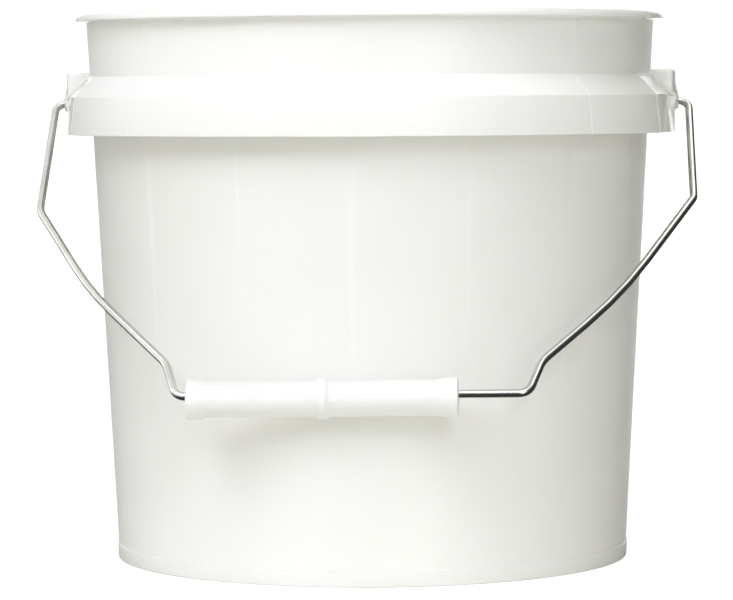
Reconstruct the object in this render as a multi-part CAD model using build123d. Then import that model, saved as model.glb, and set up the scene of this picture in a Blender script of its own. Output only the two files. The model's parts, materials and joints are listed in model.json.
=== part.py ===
from build123d import *
import math
import os

# A small moulded paint pail, in millimetres. Z is up, the pail stands on Z = 0, and its axis is Z.
# The ears are on X, and the bail hangs in front, on -Y.

# Pail wall and floor
PAIL_HEIGHT = 190.0
BASE_RADIUS = 89.2
WALL_DRAFT = 3.05
WALL = 1.7
FLOOR = 2.0
FLOOR_LIFT = 3.5
FLOOR_CORNER = 3.6
FOOT_HEIGHT = 5.4
FOOT_PROUD = 0.4
FOOT_EDGE = 0.6
GATE_RADIUS = 3.2
GATE_TIP = 1.9
GATE_DEPTH = 1.4

# Rim lip
LIP_REACH = 4.0
LIP_HEIGHT = 2.6
LIP_BEVEL = 1.3

# Hollow skirt round the wall, open below
NECK_HEIGHT = 19.0
SHOULDER_DROP = 7.0
BAND_HEIGHT = 13.0
SHOULDER_REACH = 7.15
BAND_FLARE = 1.4
SKIRT_WALL = 1.5
SKIRT_EDGE = 0.6
RIB = 1.2
RIB_LIFT = 1.6
RIB_BITE = 0.6
RIBS_PER_SIDE = 7
RIB_START = 20.0

# Ears that carry the bail
PIVOT_DROP = 2.15
EAR_PROUD = 2.1
EAR_RISE = 8.7
EAR_HALF = 8.8
EAR_ARCH = 26.0
EAR_CORNER = 0.8
EAR_WALL = 1.7
EAR_FOOT = 0.3
CHIN_DROP = 7.6
CHIN_TAPER = 1.82
KEEL_HALF = 2.8
KEEL_INSET = 0.15
KEEL_PROUD = 0.25
GUSSET_TOP_DROP = 2.0
GUSSET_TOP_OUT = 1.6
GUSSET_SPREAD = 6.7
GUSSET_DROP = 4.2
GUSSET_SINK = 2.0
GUSSET_FOOT = 0.5
GUSSET_BITE = 0.1
BOSS_HEIGHT = 0.9
BOSS_DEPTH = 1.8
BOSS_TIP = 1.05
BOSS_ROOT = 5.45
BOSS_RISE = 3.3

# Wire bail, drawn in its own plane: how far out from the middle, and how far from the pivot
WIRE = 2.7
EAR_HOLE_CLEARANCE = 0.2
HOOK_LENGTH = 6.4
HOOK_SEAT = 2.1
HOOK_BEND = 2.8
LEG_STAND = 4.45
LEG_BEND = 4.2
LEG_LEAN = 0.3
LEG_LENGTH = 50.2
KNEE_BEND = 9.0
ARM_OUT = 90.4
ARM_LENGTH = 89.0
ARM_BEND = 110.0
NECK_OUT = 63.9
NECK_LENGTH = 119.4
NECK_BEND = 11.0
HANDLE_OUT = 57.4
BAIL_REACH = 137.4
HANDLE_BEND = 4.6
BEND_STEP = 31.0
HANDLE_SLOPE = 0.8

# Plastic grip on the wire
GRIP_LENGTH = 88.4
GRIP_END_GAP = 0.5
GRIP_RADIUS = 6.2
GRIP_WALL = 1.4
FLARE_RADIUS = 7.0
FLARE_LENGTH = 3.0
FLARE_CONE = 3.6
BEAD_PROUD = 0.9
BEAD_WIDTH = 4.8
BORE_CLEARANCE = 1.15
HANG_GAP = 0.1
SPINE_WALL = 1.2
POCKET_WEB = 3.0
GRIP_RIBS = 4
GRIP_RIB = 1.0
GRIP_RIB_LIFT = 2.2
GRIP_RIB_BITE = 0.2
END_EDGE = 0.5
REST_GAP = 0.42


def wall_radius(height):
    """Outer radius of the drafted wall at a height."""
    return BASE_RADIUS + height * math.tan(math.radians(WALL_DRAFT))


def band_radius(height):
    """Outer radius of the skirt's band at a height."""
    below = (shoulder - height) / BAND_HEIGHT
    return wall_radius(shoulder) + SHOULDER_REACH + BAND_FLARE * below


# Heights and sizes that follow from those above
lip_under = PAIL_HEIGHT - LIP_HEIGHT
skirt_top = lip_under - NECK_HEIGHT
shoulder = skirt_top - SHOULDER_DROP
skirt_bottom = shoulder - BAND_HEIGHT
floor_top = FLOOR_LIFT + FLOOR
pivot_height = shoulder - PIVOT_DROP
ear_top = shoulder + EAR_RISE
ear_low = shoulder - EAR_FOOT
ear_face = wall_radius(shoulder) + SHOULDER_REACH + EAR_PROUD
wire_radius = WIRE / 2
hole_radius = wire_radius + EAR_HOLE_CLEARANCE
bore_radius = wire_radius + BORE_CLEARANCE
hang = BORE_CLEARANCE - HANG_GAP
hook_out = wall_radius(pivot_height) + HOOK_SEAT + wire_radius
leg_out = ear_face + BOSS_HEIGHT + LEG_STAND
run_out = (wall_radius(shoulder) + SHOULDER_REACH - wall_radius(skirt_top)) / SHOULDER_DROP
slope = math.tan(math.radians(HANDLE_SLOPE))


def section(points):
    """A flat face in the XZ plane through radius and height pairs."""
    corners = [(radius, 0, height) for radius, height in points]
    return make_face(Polyline(*corners, close=True))


def eased(face, point, length):
    """The face with its corner nearest to a radius and height pair bevelled."""
    place = (point[0], 0, point[1])
    corner = face.vertices().sort_by_distance(place)[0]
    return chamfer(corner, length)


def pail_shell():
    """Wall, floor, foot and rim lip, turned in one piece."""
    lip_out = wall_radius(lip_under) + LIP_REACH
    foot_out = wall_radius(0) + FOOT_PROUD
    foot_top = wall_radius(FOOT_HEIGHT)
    foot_inside = wall_radius(0) - WALL
    rim_inside = wall_radius(PAIL_HEIGHT) - WALL
    profile = section([
        (0, floor_top),
        (0, FLOOR_LIFT),
        (foot_inside, FLOOR_LIFT),
        (foot_inside, 0),
        (foot_out, 0),
        (foot_top + FOOT_PROUD, FOOT_HEIGHT),
        (foot_top, FOOT_HEIGHT),
        (wall_radius(lip_under), lip_under),
        (lip_out, lip_under),
        (lip_out, PAIL_HEIGHT),
        (rim_inside, PAIL_HEIGHT),
        (wall_radius(floor_top) - WALL, floor_top),
    ])
    profile = eased(profile, (foot_out, 0), FOOT_EDGE)
    profile = eased(profile, (lip_out, PAIL_HEIGHT), LIP_BEVEL)
    profile = eased(profile, (wall_radius(floor_top) - WALL, floor_top), FLOOR_CORNER)
    return revolve(profile, Axis.Z)


def gate_nub():
    """Nub under the middle of the floor where the plastic came in, clear of the ground."""
    inside_floor = FLOOR_LIFT + FLOOR / 2
    profile = section([
        (0, inside_floor),
        (0, FLOOR_LIFT - GATE_DEPTH),
        (GATE_TIP, FLOOR_LIFT - GATE_DEPTH),
        (GATE_RADIUS, inside_floor),
    ])
    return revolve(profile, Axis.Z)


def skirt_solid():
    """The skirt as a filled ring, before its hollow is taken out."""
    profile = section([
        (wall_radius(skirt_bottom) - RIB_BITE, skirt_bottom),
        (band_radius(skirt_bottom), skirt_bottom),
        (band_radius(shoulder), shoulder),
        (wall_radius(skirt_top), skirt_top),
        (wall_radius(skirt_top) - RIB_BITE, skirt_top),
    ])
    profile = eased(profile, (band_radius(shoulder), shoulder), SKIRT_EDGE)
    return revolve(profile, Axis.Z)


def hollow_section(lower, inward):
    """Outline of the hollow under the skirt, from a lower height, grown by a bite into its walls."""
    run = band_radius(shoulder) - wall_radius(skirt_top)
    drop = SKIRT_WALL * math.hypot(SHOULDER_DROP, run) / run
    out_height = shoulder - drop + SKIRT_WALL * SHOULDER_DROP / run
    return section([
        (wall_radius(lower) - inward, lower),
        (band_radius(lower) - SKIRT_WALL + inward, lower),
        (band_radius(shoulder) - SKIRT_WALL + inward, out_height),
        (wall_radius(skirt_top - drop) - inward, skirt_top - drop + inward),
    ])


def across_plate(points, half):
    """A plate through radius and height pairs at +X, reaching as far to each side of the XZ plane."""
    return extrude(section(points), amount=half, both=True)


def ear_block():
    """Upper part of one ear, filled, with its outer face arched in plan."""
    inside = wall_radius(ear_low) - RIB_BITE
    profile = section([
        (inside, ear_low),
        (ear_face, ear_low),
        (ear_face, ear_top),
        (inside, ear_top),
    ])
    profile = eased(profile, (ear_face, ear_top), EAR_CORNER)
    block = extrude(profile, amount=EAR_HALF, both=True)
    arch = Cylinder(EAR_ARCH, ear_top - ear_low)
    return block & Pos(ear_face - EAR_ARCH, 0, (ear_low + ear_top) / 2) * arch


def ear_chin():
    """Lower part of one ear, which slants back to the band, and the keel that runs down from it."""
    inside = wall_radius(skirt_bottom) - RIB_BITE
    tip = ear_low - CHIN_DROP
    chin = across_plate([
        (inside, tip),
        (ear_face - CHIN_TAPER, tip),
        (ear_face, ear_low),
        (inside, ear_low),
    ], EAR_HALF)
    keel = across_plate([
        (inside, skirt_bottom),
        (band_radius(skirt_bottom) + KEEL_PROUD, skirt_bottom),
        (ear_face - KEEL_INSET, ear_low - BOSS_TIP * 2),
        (inside, ear_low - BOSS_TIP * 2),
    ], KEEL_HALF)
    return chin + keel


def ear_gusset(turn):
    """Ramp on one side of the block, which runs out to a point on the shoulder."""
    inside = wall_radius(skirt_top) - RIB_BITE
    near = turn * (EAR_HALF - RIB_BITE)
    far = turn * (EAR_HALF + GUSSET_SPREAD)
    top_out = wall_radius(skirt_top) + GUSSET_TOP_OUT
    top = ear_top - GUSSET_TOP_DROP
    far_top = math.sqrt(wall_radius(skirt_top) ** 2 - far ** 2)
    far_low = skirt_top - GUSSET_DROP
    far_out = far_top + GUSSET_DROP * run_out
    foot_out = ear_face - CHIN_TAPER * GUSSET_FOOT / CHIN_DROP - GUSSET_BITE
    near_face = make_face(Polyline(
        (inside, near, top),
        (top_out, near, top),
        (ear_face - GUSSET_BITE, near, ear_low),
        (foot_out, near, ear_low - GUSSET_FOOT),
        (inside, near, ear_low - GUSSET_FOOT),
        close=True,
    ))
    far_face = make_face(Polyline(
        (far_top - RIB_BITE, far, skirt_top - GUSSET_SINK),
        (far_top, far, skirt_top - GUSSET_SINK),
        (far_out, far, far_low),
        (far_out, far, far_low - GUSSET_FOOT),
        (far_top - RIB_BITE, far, far_low - GUSSET_FOOT),
        close=True,
    ))
    return loft([near_face, far_face], ruled=True)


def ear_boss():
    """Low slanted cone on the ear's face, which narrows to the hole for the wire."""
    tip_out = ear_face + BOSS_HEIGHT
    tip = Plane(origin=(tip_out, 0, pivot_height), z_dir=(1, 0, 0))
    root = Plane(origin=(tip_out - BOSS_DEPTH, 0, pivot_height + BOSS_RISE), z_dir=(1, 0, 0))
    return loft([root * Circle(hole_radius + BOSS_ROOT), tip * Circle(hole_radius + BOSS_TIP)], ruled=True)


def ear_pocket():
    """Room behind the ear's face in which the hooked end of the wire turns."""
    outside = band_radius(shoulder) - SKIRT_WALL
    inside = wall_radius(ear_top)
    low = skirt_bottom - RIB_LIFT
    high = ear_top - EAR_WALL
    width = (EAR_HALF - EAR_WALL) * 2
    room = Box(outside - inside, width, high - low)
    return Pos((inside + outside) / 2, 0, (low + high) / 2) * room


def ear_hole():
    """Round hole through the ear's face."""
    length = (ear_face + BOSS_HEIGHT - hook_out) * 2
    through = Cylinder(hole_radius, length)
    return Pos(ear_face + BOSS_HEIGHT, 0, pivot_height) * Rot(0, 90, 0) * through


def both_ends(shape):
    """A shape on +X and the same shape turned round to -X."""
    return shape + Rot(0, 0, 180) * shape


def skirt_ribs():
    """Radial webs inside the skirt, evenly spaced between the ears, and two beside each ear."""
    plate = hollow_section(skirt_bottom + RIB_LIFT, RIB_BITE)
    web = extrude(plate, amount=RIB / 2, both=True)
    step = (180 - 2 * RIB_START) / (RIBS_PER_SIDE - 1)
    ear_turn = math.degrees(math.asin((EAR_HALF + RIB / 2) / band_radius(skirt_bottom)))
    turns = [RIB_START + step * count for count in range(RIBS_PER_SIDE)]
    turns = turns + [ear_turn, 180 - ear_turn]
    return [Rot(0, 0, side * turn) * web for turn in turns for side in (1, -1)]


def pail():
    """The whole pail body, one moulding."""
    ear = ear_block() + ear_chin() + ear_gusset(1) + ear_gusset(-1) + ear_boss()
    hollow = revolve(hollow_section(skirt_bottom - RIB_LIFT, 0), Axis.Z)
    skirt = skirt_solid() + both_ends(ear)
    skirt = skirt - hollow
    skirt = skirt + skirt_ribs()
    skirt = skirt - both_ends(ear_pocket())
    skirt = skirt - both_ends(ear_hole())
    return pail_shell() + gate_nub() + skirt


def route_point(out, length, uneven):
    """A point of the wire's middle line in the bail's own plane, where hand bending may tip it."""
    return (out, 0, -length + out * uneven)


def half_route(side):
    """Corners of the wire from one hooked end to the handle, each with the bend made there."""
    return [
        (route_point(side * hook_out, HOOK_LENGTH, 0), None),
        (route_point(side * hook_out, 0, 0), HOOK_BEND),
        (route_point(side * leg_out, 0, 0), LEG_BEND),
        (route_point(side * (leg_out - LEG_LEAN), LEG_LENGTH, slope), KNEE_BEND),
        (route_point(side * ARM_OUT, ARM_LENGTH, slope), ARM_BEND),
        (route_point(side * NECK_OUT, NECK_LENGTH, slope), NECK_BEND),
        (route_point(side * HANDLE_OUT, BAIL_REACH, slope), HANDLE_BEND),
    ]


def grip_place():
    """Middle of the grip along the handle: slid to -X until it stops at the wire's bend."""
    turn = math.atan2(BAIL_REACH - NECK_LENGTH, NECK_OUT - HANDLE_OUT)
    straight = HANDLE_OUT - HANDLE_BEND * math.tan(turn / 2)
    return -straight + GRIP_END_GAP + GRIP_LENGTH / 2


def bail_tilt():
    """Angle from straight down at which the hanging grip's bead comes to rest by the wall."""
    out = grip_place()
    length = BAIL_REACH - out * slope
    bead = GRIP_RADIUS + BEAD_PROUD
    steep = math.cos(math.radians(WALL_DRAFT))
    inner, outer = 0.0, 90.0
    while outer - inner > 0.001:
        angle = (inner + outer) / 2
        forward = length * math.sin(math.radians(angle))
        height = pivot_height - length * math.cos(math.radians(angle)) - hang
        wall = math.sqrt(wall_radius(height) ** 2 - out ** 2)
        if forward - wall < (bead + REST_GAP) / steep:
            inner = angle
        else:
            outer = angle
    return outer


def hang_in_front(shape):
    """Moves a shape from the bail's own plane to the bail hanging at rest in the ears."""
    return Pos(0, 0, pivot_height) * Rot(-bail_tilt(), 0, 0) * shape


def stepped_bend(before, corner, after, bend):
    """Corners of the short straight steps that stand for one round bend of the wire."""
    heading = (corner - before).normalized()
    onward = (after - corner).normalized()
    turn = heading.get_angle(onward)
    steps = math.ceil(turn / BEND_STEP)
    axis = Axis((0, 0, 0), heading.cross(onward))
    reach = bend * math.tan(math.radians(turn / steps / 2))
    place = corner - heading * bend * math.tan(math.radians(turn / 2))
    corners = []
    for _ in range(steps):
        corners.append(place + heading * reach)
        heading = heading.rotate(axis, turn / steps)
        place = corners[-1] + heading * reach
    return corners


def middle_line(route):
    """The wire's middle line through the corners of its route."""
    places = [Vector(*place) for place, bend in route]
    corners = [places[0]]
    for count in range(1, len(route) - 1):
        corners += stepped_bend(places[count - 1], places[count], places[count + 1], route[count][1])
    return Polyline(*corners, places[-1])


def bail():
    """One piece of round wire: hooked ends, legs, arms and the straight handle stretch."""
    route = half_route(1) + list(reversed(half_route(-1)))
    start = Plane(origin=route[0][0], z_dir=(0, 0, 1))
    path = middle_line(route)
    wire = sweep(start * Circle(wire_radius), path=path, transition=Transition.RIGHT)
    return hang_in_front(wire)


def grip_body():
    """The grip's outside and bore, turned about Z."""
    half = GRIP_LENGTH / 2
    cone_start = half - FLARE_LENGTH
    cone_end = cone_start - FLARE_CONE
    bead = GRIP_RADIUS + BEAD_PROUD
    upper = [
        (bead, BEAD_WIDTH / 4),
        (GRIP_RADIUS, BEAD_WIDTH / 2),
        (GRIP_RADIUS, cone_end),
        (FLARE_RADIUS, cone_start),
        (FLARE_RADIUS, half),
        (bore_radius, half),
    ]
    lower = [(radius, -height) for radius, height in reversed(upper)]
    profile = section(upper + lower)
    for end in (1, -1):
        profile = eased(profile, (FLARE_RADIUS, end * half), END_EDGE)
    return revolve(profile, Axis.Z)


def grip_pocket():
    """The open pocket in the +Z end, between the outer wall and the spine, with its ribs left in."""
    inner = bore_radius + SPINE_WALL
    outer = GRIP_RADIUS - GRIP_WALL
    depth = (GRIP_LENGTH - POCKET_WEB) / 2
    pocket = Cylinder(outer, depth) - Cylinder(inner, depth)
    rib = Box(outer - inner + GRIP_RIB_BITE * 2, GRIP_RIB, depth)
    rib = Pos((inner + outer) / 2, 0, -GRIP_RIB_LIFT) * rib
    for count in range(GRIP_RIBS):
        pocket = pocket - Rot(0, 0, 360 * count / GRIP_RIBS) * rib
    return Pos(0, 0, (GRIP_LENGTH - depth) / 2) * pocket


def grip():
    """Moulded grip tube, hanging on the handle stretch of the wire."""
    pocket = grip_pocket()
    tube = grip_body() - pocket - Rot(180, 0, 0) * pocket
    out = grip_place()
    along_wire = Pos(route_point(out, BAIL_REACH, slope)) * Rot(0, 90 - HANDLE_SLOPE, 0) * tube
    return Pos(0, 0, -hang) * hang_in_front(along_wire)


def main():
    """Writes one file for each piece."""
    os.makedirs("parts", exist_ok=True)
    pieces = {"pail": pail(), "bail": bail(), "grip": grip()}
    for name, shape in pieces.items():
        export_step(shape, "parts/" + name + ".step")
        box = shape.bounding_box()
        print(name, "volume", round(shape.volume), "from", box.min, "to", box.max)
    print("pivot height", pivot_height, "bail tilt", bail_tilt(), "grip place", grip_place())


main()
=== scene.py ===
"""Looks of a small moulded paint pail with a wire bail and a turning grip.

Every size is a real one in millimetres, and the meshes are in metres in the frame of the CAD model.
"""

import json
import logging
import math
from collections.abc import Callable, Sequence
from dataclasses import dataclass
from enum import Enum

import bmesh
import bpy
from mathutils import Matrix, Vector

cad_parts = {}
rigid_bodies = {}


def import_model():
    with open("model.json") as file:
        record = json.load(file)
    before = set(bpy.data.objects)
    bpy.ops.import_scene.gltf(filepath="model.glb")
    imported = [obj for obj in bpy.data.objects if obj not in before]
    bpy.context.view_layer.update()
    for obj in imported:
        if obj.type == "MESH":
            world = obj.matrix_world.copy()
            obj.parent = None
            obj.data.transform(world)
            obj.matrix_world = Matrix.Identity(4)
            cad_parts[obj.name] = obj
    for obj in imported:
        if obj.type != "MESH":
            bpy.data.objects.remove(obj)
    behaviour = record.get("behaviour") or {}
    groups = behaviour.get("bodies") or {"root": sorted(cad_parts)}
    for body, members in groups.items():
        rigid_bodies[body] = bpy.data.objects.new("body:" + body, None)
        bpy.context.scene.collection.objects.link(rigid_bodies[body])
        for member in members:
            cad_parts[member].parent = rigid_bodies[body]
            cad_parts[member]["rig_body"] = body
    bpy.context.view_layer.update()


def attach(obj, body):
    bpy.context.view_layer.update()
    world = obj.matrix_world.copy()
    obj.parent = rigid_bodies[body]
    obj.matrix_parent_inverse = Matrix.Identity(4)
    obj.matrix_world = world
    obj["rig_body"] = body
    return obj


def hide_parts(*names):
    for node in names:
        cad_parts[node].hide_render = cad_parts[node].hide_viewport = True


LOG = logging.getLogger("paint_pail")
MM = 0.001
HALF_TURN = math.pi
FULL_TURN = 2 * math.pi
# Points closer than this are one point.
WELD = 0.002 * MM
# The wire's attribute with the place round it and along it.
WIRE_WAY = "wire_way"
# Rows of faces across a twisted surface, so that it bends evenly.
RULED_CUTS = 5
EdgeTest = Callable[[Vector, "bmesh.types.BMEdge"], bool]


@dataclass(frozen=True)
class Corner:
    """One corner of an outline: two coordinates and the radius that rounds it, all in mm."""

    across: float
    up: float
    radius: float = 0.0
    steps: int = 6

    def place(self) -> Vector:
        """The corner's own point, before it is rounded."""
        return Vector((self.across, self.up))


def rounded_outline(corners: Sequence[Corner], closed: bool = False) -> list[Vector]:
    """Turns corners into the points of an outline, with an arc at each rounded corner.

    Args:
        corners: The corners in order.
        closed: Whether the last corner joins the first, so that both may be rounded.

    Returns:
        The points in order, in mm.
    """
    points: list[Vector] = []
    count = len(corners)
    for index, corner in enumerate(corners):
        here = corner.place()
        if corner.radius == 0 or (not closed and index in (0, count - 1)):
            points.append(here)
            continue
        back = (corners[index - 1].place() - here).normalized()
        ahead = (corners[(index + 1) % count].place() - here).normalized()
        half = back.angle(ahead) / 2
        centre = here + (back + ahead).normalized() * (corner.radius / math.sin(half))
        start = here + back * (corner.radius / math.tan(half)) - centre
        end = here + ahead * (corner.radius / math.tan(half)) - centre
        turn = start.angle_signed(end)
        for step in range(corner.steps + 1):
            swing = Matrix.Rotation(-turn * step / corner.steps, 2)
            points.append(centre + swing @ start)
    return points


def deselect_all() -> None:
    """Leaves edit mode and selects nothing, so that the next tool acts on new work only."""
    if bpy.context.object is not None and bpy.context.object.mode != "OBJECT":
        bpy.ops.object.mode_set(mode="OBJECT")
    bpy.ops.object.select_all(action="DESELECT")


def pick(piece: bpy.types.Object) -> None:
    """Makes one object the only one selected, and the active one."""
    deselect_all()
    piece.select_set(True)
    bpy.context.view_layer.objects.active = piece


def select_where(piece: bpy.types.Object, mode: str, test: Callable[..., bool]) -> None:
    """Selects, in edit mode, the vertices, edges or faces whose middle passes a test.

    Args:
        piece: The object in edit mode.
        mode: VERT, EDGE or FACE.
        test: Takes the middle in metres and the element, and says whether it is selected.
    """
    bpy.ops.mesh.select_mode(type=mode)
    bpy.ops.mesh.select_all(action="DESELECT")
    work = bmesh.from_edit_mesh(piece.data)
    layers = {"VERT": work.verts, "EDGE": work.edges, "FACE": work.faces}
    for element in layers[mode]:
        if mode == "VERT":
            middle = element.co
        elif mode == "EDGE":
            middle = (element.verts[0].co + element.verts[1].co) / 2
        else:
            middle = element.calc_center_median()
        element.select_set(bool(test(middle, element)))
    work.select_flush_mode()
    bmesh.update_edit_mesh(piece.data)


def start_line(name: str, points: Sequence[Vector]) -> bpy.types.Object:
    """Draws a line of edges by extruding one vertex from point to point.

    Args:
        name: The new object's name.
        points: The line's points, in metres.

    Returns:
        The object, left in edit mode with its last vertex selected.
    """
    deselect_all()
    bpy.ops.mesh.primitive_plane_add(size=MM, location=(0, 0, 0))
    piece = bpy.context.object
    piece.name = name
    piece.data.name = name
    bpy.ops.object.mode_set(mode="EDIT")
    bpy.ops.mesh.select_mode(type="VERT")
    bpy.ops.mesh.select_all(action="SELECT")
    bpy.ops.mesh.merge(type="CENTER")
    bpy.ops.transform.translate(value=points[0])
    for before, after in zip(points, points[1:]):
        bpy.ops.mesh.extrude_vertices_move(TRANSFORM_OT_translate={"value": after - before})
    return piece


def clean_up(piece: bpy.types.Object) -> None:
    """Merges doubled vertices, points every face outwards and leaves edit mode."""
    bpy.ops.mesh.select_all(action="SELECT")
    bpy.ops.mesh.remove_doubles(threshold=WELD)
    bpy.ops.mesh.normals_make_consistent(inside=False)
    bpy.ops.object.mode_set(mode="OBJECT")
    piece.select_set(False)


def turned(name: str, outline: Sequence[Vector], steps: int) -> bpy.types.Object:
    """Spins an outline of radius and height pairs about the Z axis.

    Args:
        name: The new object's name.
        outline: Pairs in mm. An end on the axis closes in a pole.
        steps: How many facets go round.

    Returns:
        The object in object mode: a closed solid, unless an end of the outline is open.
    """
    points = [Vector((radius, 0, height)) * MM for radius, height in outline]
    piece = start_line(name, points)
    bpy.ops.mesh.select_all(action="SELECT")
    bpy.ops.mesh.spin(steps=steps, angle=FULL_TURN, center=(0, 0, 0), axis=(0, 0, 1))
    clean_up(piece)
    return piece


def plate(name: str, points: Sequence[Vector], through: Vector) -> bpy.types.Object:
    """Fills a closed outline and extrudes it into a solid plate.

    Args:
        name: The new object's name.
        points: The outline's points in order, in mm.
        through: The extrusion, in mm.

    Returns:
        A closed solid in object mode.
    """
    piece = start_line(name, [point * MM for point in points])
    bpy.ops.mesh.select_all(action="SELECT")
    bpy.ops.mesh.edge_face_add()
    bpy.ops.mesh.extrude_region_move(TRANSFORM_OT_translate={"value": through * MM})
    clean_up(piece)
    return piece


def sector(name: str, outline: Sequence[Vector], angle: float, steps: int) -> bpy.types.Object:
    """Fills an outline of radius and height pairs and spins it part of the way round the Z axis.

    Args:
        name: The new object's name.
        outline: Pairs in mm, in order round the section.
        angle: How far it goes round, in radians, with its middle on +X.
        steps: How many facets go round.

    Returns:
        A closed solid in object mode.
    """
    points = [Vector((radius, 0, height)) * MM for radius, height in outline]
    piece = start_line(name, points)
    bpy.ops.mesh.select_all(action="SELECT")
    bpy.ops.mesh.edge_face_add()
    bpy.ops.mesh.spin(steps=steps, angle=angle, center=(0, 0, 0), axis=(0, 0, 1))
    clean_up(piece)
    piece.data.transform(Matrix.Rotation(angle / 2, 4, "Z"))
    return piece


def bridged(name: str, near: Sequence[Vector], far: Sequence[Vector]) -> bpy.types.Object:
    """Bridges two outlines of the same count of points into a solid.

    Args:
        name: The new object's name.
        near: The first outline, in mm.
        far: The second outline, in mm.

    Returns:
        A closed solid in object mode.
    """
    rings = [plate_face(name, ring) for ring in (near, far)]
    joined = join(name, rings)
    bpy.ops.object.mode_set(mode="EDIT")
    bpy.ops.mesh.select_mode(type="EDGE")
    bpy.ops.mesh.select_all(action="SELECT")
    bpy.ops.mesh.delete(type="ONLY_FACE")
    bpy.ops.mesh.select_all(action="SELECT")
    bpy.ops.mesh.bridge_edge_loops(number_cuts=RULED_CUTS, interpolation="LINEAR")
    select_where(joined, "EDGE", lambda middle, edge: edge.is_boundary)
    bpy.ops.mesh.edge_face_add()
    bpy.ops.mesh.select_all(action="SELECT")
    bpy.ops.mesh.fill_holes(sides=0)
    clean_up(joined)
    return joined


def plate_face(name: str, points: Sequence[Vector]) -> bpy.types.Object:
    """Fills one closed outline with a face, and leaves it in object mode. Points are in mm."""
    piece = start_line(name, [point * MM for point in points])
    bpy.ops.mesh.select_all(action="SELECT")
    bpy.ops.mesh.edge_face_add()
    bpy.ops.object.mode_set(mode="OBJECT")
    piece.select_set(False)
    return piece


def join(name: str, pieces: Sequence[bpy.types.Object]) -> bpy.types.Object:
    """Joins several objects into the first of them, and selects it."""
    deselect_all()
    for piece in pieces:
        piece.select_set(True)
    bpy.context.view_layer.objects.active = pieces[0]
    if len(pieces) > 1:
        bpy.ops.object.join()
    joined = bpy.context.object
    joined.name = name
    joined.data.name = name
    return joined


def copied(piece: bpy.types.Object, move: Matrix) -> bpy.types.Object:
    """A copy of an object with its own mesh, moved in its mesh."""
    pick(piece)
    bpy.ops.object.duplicate(linked=False)
    copy = bpy.context.object
    copy.data.transform(move)
    copy.select_set(False)
    return copy


def mirrored(piece: bpy.types.Object) -> bpy.types.Object:
    """A copy of an object on the other side of the XZ plane, with its faces outwards again."""
    copy = copied(piece, Matrix.Scale(-1, 4, (0, 1, 0)))
    pick(copy)
    bpy.ops.object.mode_set(mode="EDIT")
    clean_up(copy)
    return copy


def bevel_edges(piece: bpy.types.Object, width: float, steps: int, test: EdgeTest) -> None:
    """Rounds the edges that pass a test.

    Args:
        piece: The object to round.
        width: How far the rounding reaches from the edge, in mm.
        steps: Facets across the rounding.
        test: Takes an edge's middle in metres and the edge.
    """
    pick(piece)
    bpy.ops.object.mode_set(mode="EDIT")
    select_where(piece, "EDGE", test)
    bpy.ops.mesh.bevel(offset=width * MM, segments=steps, profile=0.5, affect="EDGES")
    clean_up(piece)


class Cut(Enum):
    """How a tool body changes the piece that it meets."""

    ADD = "UNION"
    TAKE = "DIFFERENCE"


def combine(piece: bpy.types.Object, tool: bpy.types.Object, cut: Cut) -> None:
    """Adds a tool body to a piece or takes it away, and deletes the tool body.

    Args:
        piece: The object that is changed.
        tool: The other body, which is used up.
        cut: Whether it is added or taken away.
    """
    pick(piece)
    change = piece.modifiers.new(cut.name.lower(), "BOOLEAN")
    change.operation = cut.value
    change.solver = "EXACT"
    change.object = tool
    bpy.ops.object.modifier_apply(modifier=change.name)
    bpy.data.objects.remove(tool)


def smooth(piece: bpy.types.Object, angle: float) -> None:
    """Shades a piece smooth, except across edges sharper than an angle in degrees."""
    pick(piece)
    bpy.ops.object.shade_smooth_by_angle(angle=math.radians(angle))
    piece.select_set(False)


def linear(colour: str) -> tuple[float, float, float, float]:
    """Turns an sRGB hex colour into the linear one that a shader takes."""
    channels = [int(colour[place:place + 2], 16) / 255 for place in (1, 3, 5)]
    values = [c / 12.92 if c <= 0.04045 else ((c + 0.055) / 1.055) ** 2.4 for c in channels]
    return (values[0], values[1], values[2], 1.0)


class Nodes:
    """The node tree of one material while it is put together."""

    def __init__(self, name: str) -> None:
        """Starts a material with its shader and output alone."""
        self.material = bpy.data.materials.new(name)
        self.material.use_nodes = True
        self.tree = self.material.node_tree
        self.shader = next(n for n in self.tree.nodes if n.type == "BSDF_PRINCIPLED")

    def add(self, kind: str, settings: dict | None = None, **links) -> bpy.types.Node:
        """Adds a node, with its settings and what feeds it.

        Args:
            kind: The node's type name, without its common prefix.
            settings: Properties of the node by name.
            links: Values or sockets for its inputs. A name ends in a digit to give an index.

        Returns:
            The node.
        """
        node = self.tree.nodes.new("ShaderNode" + kind)
        for name, value in (settings or {}).items():
            setattr(node, name, value)
        for name, value in links.items():
            key = int(name[2:]) if name.startswith("in") else name.replace("_", " ")
            if isinstance(value, bpy.types.NodeSocket):
                self.tree.links.new(value, node.inputs[key])
            else:
                node.inputs[key].default_value = value
        return node

    def feed(self, name: str, value) -> None:
        """Sets one of the shader's sockets to a value, or links it to another node's socket."""
        if isinstance(value, bpy.types.NodeSocket):
            self.tree.links.new(value, self.shader.inputs[name])
        else:
            self.shader.inputs[name].default_value = value


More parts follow.
